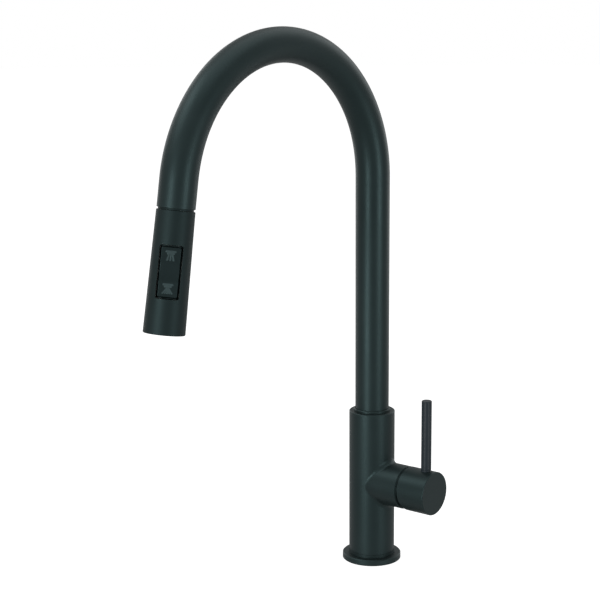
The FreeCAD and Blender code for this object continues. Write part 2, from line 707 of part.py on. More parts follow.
def waterway_core():
    """Moulded core: inlet neck above, spool chamber in the middle, two ways out below."""
    body, planes = new_body("waterway_core")
    turn(body, planes, [
        ("inlet_bore", "inlet_top"), ("inlet_radius", "inlet_top"),
        ("inlet_radius", "-head_wall"), ("core_radius", "-head_wall"),
        ("core_radius", "-core_foot"), ("funnel_radius", "-core_foot"),
        ("funnel_radius", "-core_foot + funnel_start"), ("spool_bore", "-core_foot + funnel_end"),
        ("spool_bore", "-inlet_step"), ("inlet_bore", "-inlet_foot"),
    ])
    flat = sketch_on(body, planes, "XZ_Plane", "Flat", "core_flat")
    reach = "core_radius + 1"
    polygon(flat, [
        (f"-({reach})", "-window_centre - window_length / 2 - 1"),
        (reach, "-window_centre - window_length / 2 - 1"),
        (reach, "-window_centre + window_length / 2 + 1"),
        (f"-({reach})", "-window_centre + window_length / 2 + 1"),
    ])
    cut(body, flat, reach, reverse=True)
    slot = sketch_on(body, planes, "XZ_Plane", "ForkSlot")
    polygon(slot, [
        ("-fork_port", "-window_centre - fork_travel"), ("fork_port", "-window_centre - fork_travel"),
        ("fork_port", "-window_centre + fork_travel"), ("-fork_port", "-window_centre + fork_travel"),
    ])
    cut(body, slot, "core_radius + 1", reverse=True)
    node(body, "waterway_core", HEAD)


def diverter():
    """Spool that the rocker's fork shifts up or down, and its two O-rings."""
    half_groove = "(fork_height / 2 + slack)"
    ring_seat = "spool_radius - ring_depth"
    outline = [("0", "-spool_foot"), ("spool_radius", "-spool_foot")]
    for centre in ("-window_centre - ring_offset", "-window_centre + ring_offset"):
        if centre.endswith("+ ring_offset"):
            outline += [
                ("spool_radius", f"-window_centre - {half_groove}"),
                ("spool_groove", f"-window_centre - {half_groove}"),
                ("spool_groove", f"-window_centre + {half_groove}"),
                ("spool_radius", f"-window_centre + {half_groove}"),
            ]
        outline += [
            ("spool_radius", f"{centre} - ring_half"), (ring_seat, f"{centre} - ring_half"),
            (ring_seat, f"{centre} + ring_half"), ("spool_radius", f"{centre} + ring_half"),
        ]
    outline += [("spool_radius", "-spool_top"), ("0", "-spool_top")]
    turned("diverter_spool", outline, HEAD)
    node(apart(*[
        torus(
            "spool_radius - o_ring_section", "ring_section",
            ("0", "0", f"-window_centre + {side} * ring_offset"),
        )
        for side in (-1, 1)
    ]), "spool_o_rings", HEAD)


def head_inlet():
    """Nut that holds the hose's nipple, its washer, and the non-return valve in the neck."""
    turned("coupling_nut", [
        ("nut_bore", "nut_floor"), ("inlet_radius", "nut_floor"), ("inlet_radius", "nut_foot"),
        ("coupling_nut_radius", "nut_foot"), ("coupling_nut_radius", "nut_top - nut_edge"),
        ("coupling_nut_radius - nut_edge", "nut_top"), ("nut_bore", "nut_top"),
    ], HEAD)
    ring("inlet_washer", "washer_bore", "washer_radius", "inlet_top", "nipple_foot - slack", HEAD)
    # the non-return valve: a sleeve with a seat above, and a cross below that guides the poppet
    turned("check_valve_body", [
        ("valve_mouth", "valve_top"), ("valve_radius", "valve_top"), ("valve_radius", "-valve_foot"),
        ("valve_bore", "-valve_foot"), ("valve_bore", "valve_seat"), ("valve_mouth", "valve_seat"),
    ], HEAD)
    guide = less(
        join(block(("2 * valve_bore", "guide_rib", "guide_height"),
                   ("-valve_bore", "-guide_rib / 2", "-guide_foot")),
             block(("guide_rib", "2 * valve_bore", "guide_height"),
                   ("-guide_rib / 2", "-valve_bore", "-guide_foot")),
             cylinder("2 * stem_rod", "guide_height", ("0", "0", "-guide_foot"))),
        cylinder("stem_rod + running", "4", ("0", "0", "-guide_foot - 1")),
    )
    rounded = doc.addObject("Part::Common", "GuideInSleeve")
    rounded.Base = guide
    rounded.Tool = cylinder("valve_bore", "4", ("0", "0", "-guide_foot - 1"))
    node(rounded, "check_valve_guide", HEAD)
    turned("check_valve_poppet", [
        ("0", "valve_seat"), ("poppet_radius", "valve_seat"), ("poppet_radius", "poppet_foot"),
        ("stem_shoulder", "shoulder_foot"), ("stem_rod", "shoulder_foot"), ("stem_rod", "-stem_foot"),
        ("0", "-stem_foot"),
    ], HEAD)
    spring()


def spring():
    """Coil spring between the non-return valve's guide and its poppet."""
    pitch = value("spring_pitch")
    radius = value("spring_radius")
    foot = value("spring_foot")
    coil = Part.makeHelix(pitch, value("spring_length"), radius)
    coil.translate(Vector(0, 0, foot))
    rise = pitch / (2 * math.pi * radius)
    section = Part.makeCircle(value("spring_wire"), Vector(radius, 0, foot), Vector(0, 1, rise))
    feature = doc.addObject("Part::Feature", "Spring")
    feature.Shape = Part.Wire(coil.Edges).makePipeShell([Part.Wire([section])], True, True)
    node(feature, "check_valve_spring", HEAD)


def spray_face():
    """Outlet end: silicone nozzle mat, face plate with its holes, aerator cup and insert."""
    inner = "aerator_radius + slack"
    outer = "head_foot_radius - head_wall - face_gap"
    body, planes = new_body("face_plate")
    turn(body, planes, [
        (inner, "-face_foot"), (outer, "-face_foot"),
        (f"{outer} - end_gap", "-face_top - mat_height"), (inner, "-face_top - mat_height"),
    ])
    doc.recompute()
    rings = (("inner_nozzles", 16), ("outer_nozzles", 20))
    mat, mat_planes = new_body("nozzle_mat")
    turn(mat, mat_planes, [
        (inner, "-face_top - mat_height"), (f"{outer} - 2 * end_gap", "-face_top - mat_height"),
        (f"{outer} - 2 * end_gap", "-face_top"), (inner, "-face_top"),
    ])
    doc.recompute()
    for radius, count in rings:
        hole = sketch_on(body, planes, "XY_Plane", f"Hole{count}", "-face_foot")
        circle(hole, (radius, "0"), "nozzle_hole")
        pocket = cut(body, hole, "face_foot - face_top", reverse=True)
        around = body.newObject("PartDesign::PolarPattern", f"HoleRing{count}")
        around.Originals = [pocket]
        around.Axis = (hole, ["N_Axis"])
        around.Angle = 360
        around.Occurrences = count
        body.Tip = around
        nub = sketch_on(mat, mat_planes, "XY_Plane", f"Nozzle{count}", "-nozzle_foot")
        circle(nub, (radius, "0"), "nozzle_radius")
        pad = mat.newObject("PartDesign::Pad", f"Nozzle{count}Pad")
        pad.Profile = nub
        pad.setExpression("Length", cell("nozzle_foot - face_top - mat_height / 2"))
        doc.recompute()
        about = mat.newObject("PartDesign::PolarPattern", f"NozzleRing{count}")
        about.Originals = [pad]
        about.Axis = (nub, ["N_Axis"])
        about.Angle = 360
        about.Occurrences = count
        mat.Tip = about
        doc.recompute()
    node(body, "face_plate", HEAD)
    node(mat, "nozzle_mat", HEAD)
    wall = "aerator_radius - aerator_wall"
    turned("aerator_cup", [
        ("cup_mouth", "-core_foot - cup_top"), ("aerator_radius", "-core_foot - cup_top"),
        ("aerator_radius", "-nozzle_foot"), (wall, "-nozzle_foot"),
        (wall, "-core_foot - cup_roof"), ("cup_mouth", "-core_foot - cup_roof"),
    ], HEAD)
    insert = cylinder(f"{wall} - running", "insert_height", ("0", "0", "-nozzle_foot + insert_lift"))
    holes = [cylinder("jet_radius", "5", ("0", "0", "-nozzle_foot"))]
    for step in range(6):
        holes.append(cylinder(
            "jet_radius", "5",
            (f"jet_circle * cos(60 * {step})", f"jet_circle * sin(60 * {step})", "-nozzle_foot"),
        ))
    node(less(insert, join(*holes)), "aerator_insert", HEAD)
    ring("face_seal", "aerator_radius + end_gap", "core_radius",
         "-face_top + slack", "-core_foot - slack", HEAD)


# ---------------------------------------------------------------- cartridge


def seat_ports():
    """Where the hot, cold and mixed ways cross the cartridge's seat, in the handle's frame."""
    return (
        ("-hot_port_rise", "drilling_y"), ("-hot_port_rise", "-drilling_y"),
        ("mixed_port_drop", "0"),
    )


def cartridge_fixed_parts():
    """Base with its port seals, fixed ceramic disc, cup and retaining nut."""
    base = cylinder("cartridge_radius - slack", "base_height", ("0", "0", "seat_x"))
    seals = []
    for across, along in seat_ports():
        place = (across, along, "seat_x - 1")
        base = less(base, cylinder("drilling_radius + seal_width", "2.2", place))
        base = less(base, cylinder("drilling_radius", "base_height + 2", place))
        seals.append(less(
            cylinder(
                "drilling_radius + seal_width - seal_slack", "port_seal_height",
                (across, along, "seat_x + seal_slack"),
            ),
            cylinder("drilling_radius", "4", place),
        ))
    node(base, "cartridge_base", HANDLE)
    node(apart(*seals), "port_seals", HANDLE)
    disc = cylinder("fixed_disc_radius", "disc_height", ("0", "0", "seat_x + base_height"))
    for across, along in seat_ports():
        disc = less(disc, cylinder("disc_port", "9", (across, along, "seat_x")))
    node(disc, "fixed_ceramic_disc", HANDLE)
    inner = "cartridge_radius - cup_wall"
    turned("cartridge_cup", [
        ("cartridge_radius", "seat_x + base_height"), ("cartridge_radius", "cup_end"),
        ("rotor_neck + running", "cup_end"), ("rotor_neck + running", "cup_end - cup_wall"),
        (inner, "cup_end - cup_wall"),
        (inner, "seat_x + base_height"),
    ], HANDLE)
    ring("disc_collar", "fixed_disc_radius", inner, "seat_x + base_height",
         "seat_x + base_height + disc_height - slack", HANDLE)
    turned("cartridge_nut", [
        ("collar_bore", "cup_end + running"), ("thread_radius", "cup_end + running"),
        ("thread_radius", "collar_end"),
        ("collar_bore + collar_edge", "collar_end"), ("collar_bore", "collar_end - collar_edge"),
    ], HANDLE)


def dome_cover():
    """Cover ring on the boss: a flange, and a ball-shaped band about the lever's pivot."""
    shell = less(
        ball("dome_radius", ("0", "0", "pivot_x")),
        ball("dome_radius - dome_wall", ("0", "0", "pivot_x")),
        cylinder("dome_mouth", "40", ("0", "0", "pivot_x")),
        cylinder("dome_radius + 1", "dome_radius + boss_end - pivot_x",
                 ("0", "0", "pivot_x - dome_radius")),
    )
    flange = less(cylinder("dome_flange", "dome_flange_height", ("0", "0", "boss_end")),
                  cylinder("dome_flange - dome_step", "3", ("0", "0", "boss_end - 1")))
    spigot = less(cylinder("thread_radius - running", "dome_spigot + spigot_bury",
                           ("0", "0", "boss_end - dome_spigot")),
                  cylinder("thread_radius - dome_spigot_wall", "9", ("0", "0", "boss_end - 4")))
    node(join(shell, flange, spigot), "dome_cover", HANDLE)


def rotor_parts():
    """Rotor that turns with the lever, and the pin that the stem tips on."""
    low = "seat_x + base_height + 2 * disc_height + carrier_height + rotor_gap"
    top = "cup_end - cup_wall - slack"
    flange = cylinder("cartridge_radius - cup_wall - end_gap", f"{top} - ({low})", ("0", "0", low))
    neck = cylinder("rotor_neck", f"rotor_end - ({low})", ("0", "0", low))
    slot = block(("stem_slot", "2 * stem_radius + 2 * slack", "20"),
                 ("-stem_slot / 2", "-stem_radius - slack", "20"))
    pin_hole = cylinder("pivot_radius", "20", ("0", "-10", "pivot_x"), ALONG_Y)
    node(less(join(flange, neck), slot, pin_hole), "cartridge_rotor", HANDLE)
    node(cylinder("pivot_radius", "pivot_length", ("0", "-pivot_length / 2", "pivot_x"), ALONG_Y),
         "pivot_pin", HANDLE)


def moving_disc_parts():
    """The sliding ceramic disc with its mixing hollow, and the carrier that the stem pushes."""
    low = "seat_x + base_height + disc_height + running"
    disc = cylinder("moving_disc_radius", "disc_height", ("disc_offset", "0", low))
    hollow = cylinder("mixing_radius", "mixing_depth", ("disc_offset", "0", f"{low} - slack"))
    node(less(disc, hollow), "moving_ceramic_disc", HANDLE)
    top = f"{low} + disc_height"
    carrier = cylinder("moving_disc_radius", "carrier_height", ("disc_offset", "0", top))
    socket = cylinder("ball_radius + ball_gap", "9", ("0", "0", f"{top} + running"))
    node(less(carrier, socket), "disc_carrier", HANDLE)


# ---------------------------------------------------------------- handle


def cartridge_stem():
    """Lever stem: ball end in the carrier, round middle on the pivot pin, square end in the hub."""
    parts = join(
        ball("ball_radius", ("0", "0", "ball_x")),
        cylinder("stem_neck", "6", ("0", "0", "ball_x")),
        cylinder("stem_radius", "stem_square - pivot_x + stem_radius + end_gap",
                 ("0", "0", "pivot_x - stem_radius")),
        block(("2 * stem_half", "2 * stem_half", "stem_end - stem_square"),
              ("-stem_half", "-stem_half", "stem_square")),
    )
    hole = cylinder("pivot_radius + running", "20", ("0", "-10", "pivot_x"), ALONG_Y)
    node(less(parts, hole), "cartridge_stem", HANDLE)


def handle_hub():
    """Hollow round hub with a bevelled lower rear rim, so that it can tip past the boss."""
    body, planes = new_body("handle_hub")
    turn(body, planes, [
        ("0", "hub_wall"), ("hub_bore", "hub_wall"), ("hub_bore", "hub_rear + bore_edge"),
        ("hub_bore + bore_edge", "hub_rear"), ("hub_radius - rear_edge", "hub_rear"),
        ("hub_radius", "hub_rear + rear_edge"), ("hub_radius", "hub_end"), ("0", "hub_end"),
    ])
    soften(
        body, "EndEdge",
        lambda edge: edge.BoundBox.ZLength < 0.01 and edge.BoundBox.ZMin > value("hub_end") - 0.01
        and edge.BoundBox.XLength > 1,
        "hub_edge",
    )
    bevel = sketch_on(body, planes, "XZ_Plane", "Bevel")
    polygon(bevel, [
        ("-bevel_start", "hub_rear - 1"), ("hub_radius + 1", "hub_rear - 1"),
        ("hub_radius + 1", "hub_rear + bevel_slope * (hub_radius + 1 + bevel_start)"),
        ("-bevel_start", "hub_rear"),
    ])
    cut(body, bevel, "3 * hub_radius", both=True)
    socket = sketch_on(body, planes, "XY_Plane", "StemSocket", "hub_wall")
    polygon(socket, [
        ("-stem_half", "-stem_half"), ("stem_half", "-stem_half"),
        ("stem_half", "stem_half"), ("-stem_half", "stem_half"),
    ])
    cut(body, socket, "stem_end - hub_wall + end_gap", reverse=True)
    up = sketch_on(body, planes, "YZ_Plane", "LeverSeat", "-hub_radius - 1")
    circle(up, ("0", "lever_x"), "lever_radius")
    cut(body, up, "hub_radius + 1 - lever_seat", reverse=True)
    thread = sketch_on(body, planes, "YZ_Plane", "LeverThread", "-hub_radius - 1")
    circle(thread, ("0", "lever_x"), "lever_spigot")
    cut(body, thread, "hub_radius + 1 - lever_spigot_foot", reverse=True)
    screw = sketch_on(body, planes, "YZ_Plane", "ScrewHole")
    circle(screw, ("0", "lever_x"), "grub_radius")
    cut(body, screw, "hub_radius + 1", reverse=True)
    mouth = sketch_on(body, planes, "YZ_Plane", "PlugSeat", "hub_radius + 1")
    circle(mouth, ("0", "lever_x"), "plug_cap_radius")
    cut(body, mouth, "plug_cap_height + 1 + end_gap")
    node(body, "handle_hub", HANDLE)


def lever_parts():
    """Lever pin on the hub's top, and the grub screw and plug in its underside."""
    axis = "handle_height"
    turned("handle_lever", [
        ("0", f"{axis} + lever_spigot_foot + end_gap"),
        ("lever_spigot", f"{axis} + lever_spigot_foot + end_gap"),
        ("lever_spigot", f"{axis} + lever_seat"), ("lever_radius", f"{axis} + lever_seat"),
        ("lever_radius", "lever_top - lever_edge"), ("lever_radius - lever_edge", "lever_top"),
        ("0", "lever_top"),
    ], Placement(Vector(value("lever_x"), 0, 0), Rotation()))
    screw = cylinder("grub_radius", "grub_length", ("stem_half", "0", "lever_x"), ALONG_X)
    key = cylinder("1", "3", ("stem_half + grub_length - 2", "0", "lever_x"), ALONG_X)
    # inside the handle's frame, local X is down
    node(less(screw, key), "hub_grub_screw", HANDLE)
    cap = cylinder("plug_cap_radius", "plug_cap_height",
                   ("hub_radius - plug_cap_height - end_gap", "0", "lever_x"), ALONG_X)
    node(cap, "hub_plug", HANDLE)


# ---------------------------------------------------------------- build, check and write

base_flange()
ring("worktop_seal", "seal_inner", "seal_outer", "0", "seal_height")
ring("foot_ring", "spigot_radius + slack", "foot_ring_radius", "flange_height", FOOT)
horseshoe("horseshoe_pad", "-worktop_gap - pad_height", "pad_height")
horseshoe("horseshoe_plate", "-worktop_gap - pad_height - plate_height", "plate_height")
fixing_studs()
fixing_nuts()
valve_body()
spout_bearings()
spout_insert()
spout_tube()
dock_bush()
hose()
hose_coupling()
head_shell()
rocker_parts()
waterway_core()
diverter()
head_inlet()
spray_face()
cartridge_fixed_parts()
dome_cover()
rotor_parts()
moving_disc_parts()
cartridge_stem()
handle_hub()
lever_parts()

doc.recompute()
for thing in doc.Objects:
    bad = {"Invalid", "Error"} & set(thing.State)
    if bad:
        raise RuntimeError(f"{thing.Name} ({thing.Label}) is {bad}")
os.makedirs("parts", exist_ok=True)
for piece in nodes:
    if piece.Shape.isNull() or not piece.Shape.isValid():
        raise RuntimeError(f"{piece.Label} has no valid shape")
    if not piece.Shape.Solids:
        raise RuntimeError(f"{piece.Label} has no solid")
    piece.Shape.exportStep(f"parts/{piece.Label}.step")
print(len(nodes), "pieces")
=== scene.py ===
"""Pull-down kitchen tap: the surfaces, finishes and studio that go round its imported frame."""

import json
import math

import bpy
import numpy as np
from mathutils import Matrix, Vector


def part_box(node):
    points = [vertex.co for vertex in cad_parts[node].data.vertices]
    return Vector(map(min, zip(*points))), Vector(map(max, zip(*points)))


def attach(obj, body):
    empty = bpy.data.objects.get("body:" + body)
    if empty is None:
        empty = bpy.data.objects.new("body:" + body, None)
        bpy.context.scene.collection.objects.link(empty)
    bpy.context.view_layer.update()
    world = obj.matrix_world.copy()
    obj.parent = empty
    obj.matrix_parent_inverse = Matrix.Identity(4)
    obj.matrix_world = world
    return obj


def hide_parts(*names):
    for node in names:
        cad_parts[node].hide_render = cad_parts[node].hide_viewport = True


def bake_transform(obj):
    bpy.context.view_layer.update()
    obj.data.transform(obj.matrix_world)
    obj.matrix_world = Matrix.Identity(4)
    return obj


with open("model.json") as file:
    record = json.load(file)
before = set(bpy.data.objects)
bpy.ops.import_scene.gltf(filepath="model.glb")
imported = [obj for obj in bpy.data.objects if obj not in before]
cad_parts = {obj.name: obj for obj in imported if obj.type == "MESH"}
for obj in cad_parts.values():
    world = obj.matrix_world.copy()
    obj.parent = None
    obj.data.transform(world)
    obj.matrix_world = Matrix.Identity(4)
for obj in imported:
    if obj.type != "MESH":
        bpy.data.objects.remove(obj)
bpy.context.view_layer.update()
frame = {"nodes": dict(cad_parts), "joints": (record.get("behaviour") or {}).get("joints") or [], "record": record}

bl_info = {
    "name": "Pull-down kitchen tap",
    "version": (1, 0, 0),
    "blender": (4, 5, 0),
    "location": "3D View > Sidebar > Tap",
    "description": "Builds the gooseneck, hose, lever, rocker and finishes of a kitchen tap",
    "category": "Add Mesh",
}

MM = 0.001


def joint(name):
    """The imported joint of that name."""
    return next(j for j in frame["joints"] if j["name"] == name)


def unit(v):
    """The vector at length one."""
    v = np.asarray(v, float)
    return v / np.linalg.norm(v)


# Directions and places that the frame gives: the spray head's own axes, and the lever's place.
HEAD_TOP = np.array(joint("head_swivel")["pos_m"], float)
DOWN = unit(joint("head_swivel")["axis"])
ACROSS = unit(joint("mode_rocker")["axis"])
BACK = np.cross(-DOWN, ACROSS)
ROCKER_PIN = np.array(joint("mode_rocker")["pos_m"], float)
ARCH_TURN = math.pi - math.acos(-DOWN[2])
AHEAD = unit((DOWN[0], DOWN[1], 0.0))
SIDE = np.array([-AHEAD[1], AHEAD[0], 0.0])
UP = np.array([0.0, 0.0, 1.0])
LEVER_LOW, LEVER_HIGH = (np.array(corner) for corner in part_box("handle_lever"))
LEVER_X = (LEVER_LOW[0] + LEVER_HIGH[0]) / 2
HUB_LOW, HUB_HIGH = (np.array(corner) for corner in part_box("handle_hub"))
TUBE_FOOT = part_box("spout_tube")[0][2]
HOSE_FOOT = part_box("pull_out_hose")[0][2]


# ---------------------------------------------------------------- sizes and colours


def length(name, words, size):
    """A size in metres that a user may change."""
    return bpy.props.FloatProperty(
        name=name, description=words, default=size, min=0.0, precision=5,
        subtype="DISTANCE", unit="LENGTH",
    )


def colour(name, words, shade):
    """A colour that a user may change."""
    return bpy.props.FloatVectorProperty(
        name=name, description=words, default=shade, size=3, min=0.0, max=1.0,
        subtype="COLOR",
    )


class TapSizes(bpy.types.PropertyGroup):
    """Sizes of the shaped pieces."""

    tube_radius: length("Tube radius", "Outer radius of the gooseneck", 13.95 * MM)
    tube_wall: length("Tube wall", "Thickness of the gooseneck's wall", 1 * MM)
    tube_edge: length("Tube edge", "Rounding of the gooseneck's mouth", 0.35 * MM)
    arch_radius: length("Arch radius", "Radius of the arch's middle line", 108.7 * MM)
    bend_start: length("Bend start", "Height at which the arch begins", 324.2 * MM)
    arch_press: bpy.props.FloatProperty(
        name="Arch press", description="How much flatter the tube is in its bend's plane",
        default=0.035, min=0.0, max=0.2,
    )
    tube_tail: length("Tube tail", "Straight stretch after the arch", 20.4 * MM)
    hose_radius: length("Hose radius", "Outer radius of the braided hose", 4.7 * MM)
    hose_shift: length("Hose shift", "How far the hose's arc sits towards the crown", 7 * MM)
    hose_end: length("Hose end", "Height of the hose's end over the spray head", 17 * MM)
    lever_radius: length("Lever radius", "Radius of the lever", 4.2 * MM)
    lever_edge: length("Lever edge", "Chamfer round the lever's top", 0.45 * MM)
    rocker_width: length("Rocker width", "Width of the rocker's plate", 14.0 * MM)
    rocker_length: length("Rocker length", "Length of the rocker's plate", 35.6 * MM)
    rocker_corner: length("Rocker corner", "Corner radius of the rocker's plate", 1.2 * MM)
    rocker_hollow: length("Rocker hollow", "Depth of the thumb's hollow", 0.7 * MM)
    mark_height: length("Mark height", "How far the raised marks stand up", 0.22 * MM)


class TapFinishes(bpy.types.PropertyGroup):
    """Colours of the finishes."""

    black: colour("Black", "Satin black of the metal", (0.0055, 0.0088, 0.0091))
    black_light: colour("Black, lighter", "Lighter cloud in the satin black",
                        (0.0078, 0.0117, 0.0120))
    lever: colour("Lever", "Smoother, slightly blue black of the lever",
                  (0.0120, 0.0190, 0.0240))
    rocker: colour("Rocker", "Moulded black of the rocker", (0.0060, 0.0092, 0.0096))
    mark: colour("Marks", "Grey of the rocker's raised marks", (0.040, 0.058, 0.060))
    steel: colour("Steel", "Plain steel", (0.56, 0.56, 0.57))
    brass: colour("Brass", "Plain brass", (0.68, 0.50, 0.24))
    rubber: colour("Rubber", "Black rubber", (0.018, 0.018, 0.018))
    resin: colour("Resin", "White moulded resin", (0.74, 0.74, 0.71))
    ceramic: colour("Ceramic", "Fired ceramic of the discs", (0.84, 0.81, 0.74))
    braid: colour("Braid", "Dark threads of the hose's braid", (0.045, 0.045, 0.048))
    floor: colour("Floor", "Pale floor and backdrop", (0.95, 0.95, 0.95))


# ---------------------------------------------------------------- surfaces


def surface(name, rows, closed=False, low=None, high=None):
    """A mesh from rows of points that each close on themselves. The rows follow each other as
    the lines of a grid. A closed surface joins its last row to its first; otherwise low and
    high are the points that the first and last rows are fanned to. Faces are turned outwards
    if the volume that they hold comes out negative."""
    count, around = rows.shape[:2]
    points = rows.reshape(-1, 3)
    index = np.arange(count * around).reshape(count, around)
    first = index if closed else index[:-1]
    second = np.roll(index, -1, 0) if closed else index[1:]
    quads = np.stack(
        [first, np.roll(first, -1, 1), np.roll(second, -1, 1), second], -1
    ).reshape(-1, 4)
    fans = []
    for pole, row, turn in ((low, index[0], -1), (high, index[-1], 1)):
        if pole is not None:
            points = np.vstack([points, pole])
            tip = np.full(around, len(points) - 1)
            pair = (row, np.roll(row, -1))[::turn]
            fans.append(np.stack([*pair, tip], -1))
    return mesh_piece(name, points, quads, np.vstack(fans) if fans else None)


def mesh_piece(name, points, quads, triangles=None):
    """A smooth mesh object from arrays of corners, with its faces turned outwards."""
    split = np.vstack([quads[:, [0, 1, 2]], quads[:, [0, 2, 3]]])
    if triangles is not None:
        split = np.vstack([split, triangles])
    a, b, c = (points[split[:, k]] for k in range(3))
    if np.einsum("ij,ij->", a, np.cross(b, c)) < 0:
        quads = quads[:, ::-1]
        triangles = None if triangles is None else triangles[:, ::-1]
    corners = [quads.ravel()]
    sizes = [np.full(len(quads), 4)]
    if triangles is not None:
        corners.append(triangles.ravel())
        sizes.append(np.full(len(triangles), 3))
    corners, sizes = np.concatenate(corners), np.concatenate(sizes)
    mesh = bpy.data.meshes.new(name)
    mesh.vertices.add(len(points))
    mesh.vertices.foreach_set("co", points.astype(np.float32).ravel())
    mesh.loops.add(len(corners))
    mesh.loops.foreach_set("vertex_index", corners.astype(np.int32))
    mesh.polygons.add(len(sizes))
    mesh.polygons.foreach_set(
        "loop_start", np.concatenate([[0], np.cumsum(sizes)[:-1]]).astype(np.int32)
    )
    mesh.polygons.foreach_set("use_smooth", np.ones(len(sizes), bool))
    mesh.update(calc_edges=True)
    if mesh.validate():
        raise RuntimeError(f"{name} came out with bad faces")
    piece = bpy.data.objects.new(name, mesh)
    bpy.context.scene.collection.objects.link(piece)
    return piece


def rounded(corners, steps=5):
    """An outline of (radius, height) points with each corner (radius, height, rounding) turned
    into an arc: the arc runs between the two points that lie one rounding along each side, as
    the curve (1-t)^2 A + 2t(1-t) C + t^2 B, with a further point just outside each end."""
    t = np.linspace(0, 1, steps)[:, None]
    line = []
    for k, (radius, height, rounding) in enumerate(corners):
        here = np.array([radius, height])
        ends = []
        for side in (corners[k - 1], corners[(k + 1) % len(corners)]):
            away = np.array(side[:2]) - here
            ends.append((away, np.linalg.norm(away)))
        if rounding == 0:
            line.append(here[None])
            continue
        (back, back_length), (on, on_length) = ends
        start = here + back / back_length * rounding
        stop = here + on / on_length * rounding
        guard = rounding * 0.35
        line += [
            (start + back / back_length * guard)[None],
            (1 - t) ** 2 * start + 2 * t * (1 - t) * here + t**2 * stop,
            (stop + on / on_length * guard)[None],
        ]
    return np.vstack(line)


def turned(name, corners, centre, axes, around=96, solid=False):
    """A piece turned about an axis: each outline point (r, h) goes to
    centre + r (cos a X + sin a Y) + h Z. A solid one starts and ends on the axis, where it
    is fanned to a point."""
    x, y, z = (np.asarray(axis, float) for axis in axes)
    line = rounded(corners)
    angle = np.linspace(0, 2 * np.pi, around, endpoint=False)
    ring = np.cos(angle)[:, None] * x + np.sin(angle)[:, None] * y
    if not solid:
        rows = centre + line[:, 0, None, None] * ring + line[:, 1, None, None] * z
        return surface(name, rows, closed=True)
    body = line[1:-1]
    rows = centre + body[:, 0, None, None] * ring + body[:, 1, None, None] * z
    return surface(name, rows, low=centre + line[0, 1] * z, high=centre + line[-1, 1] * z)


def gooseneck_line(along, foot, shift, sizes):
    """Points and outward directions on the gooseneck's middle line, at distances along it from
    its foot: straight up, then round an arc of radius R, where the point is R (1 - cos a) ahead
    and R sin a up from the bend's start, then straight down the tail. Shift slides
    both ends of the arc towards the crown, which takes shift / tan(half the turn) off R."""
    radius = sizes.arch_radius - shift / math.tan(ARCH_TURN / 2)
    rise = sizes.bend_start + shift - foot
    turn = np.clip((along - rise) / radius, 0, ARCH_TURN)
    up = np.minimum(along, rise)
    tail = np.maximum(along - rise - radius * ARCH_TURN, 0)
    ahead = radius * (1 - np.cos(turn)) + math.sin(ARCH_TURN) * tail
    height = foot + up + radius * np.sin(turn) + math.cos(ARCH_TURN) * tail
    place = ahead[:, None] * AHEAD + height[:, None] * UP
    out = np.sin(turn)[:, None] * UP - np.cos(turn)[:, None] * AHEAD
    return place, out


def line_length(foot, shift, tail, sizes):
    """Length of the gooseneck's line from its foot to the end of its tail."""
    radius = sizes.arch_radius - shift / math.tan(ARCH_TURN / 2)
    return sizes.bend_start + shift - foot + radius * ARCH_TURN + tail


def carried(along, radius, foot, shift, sizes, around, press=0.0):
    """Rows of points at each radius from the gooseneck's line, at each distance along it:
    P = C(s) + r (p(s) cos a N(s) + sin a X), where the arch is pressed flatter by p."""
    place, out = gooseneck_line(along, foot, shift, sizes)
    angle = np.linspace(0, 2 * np.pi, around, endpoint=False)[None, :, None]
    rise = sizes.bend_start - foot
    bend = sizes.arch_radius * ARCH_TURN
    flat = smooth_step(0, bend / 6, along - rise) * smooth_step(0, bend / 6, rise + bend - along)
    spoke = np.cos(angle) * out[:, None] * (1 - press * flat)[:, None, None]
    return place[:, None] + radius[:, None, None] * (spoke + np.sin(angle) * SIDE)


def smooth_step(low, high, x):
    """0 below low, 1 above high, and 3t^2 - 2t^3 between."""
    t = np.clip((x - low) / (high - low), 0, 1)
    return t * t * (3 - 2 * t)


def mark(mesh, name, values):
    """A number kept at each vertex, which a material can read."""
    attribute = mesh.attributes.new(name, "FLOAT", "POINT")
    attribute.data.foreach_set("value", np.asarray(values, np.float32).ravel())


# ---------------------------------------------------------------- node groups and finishes


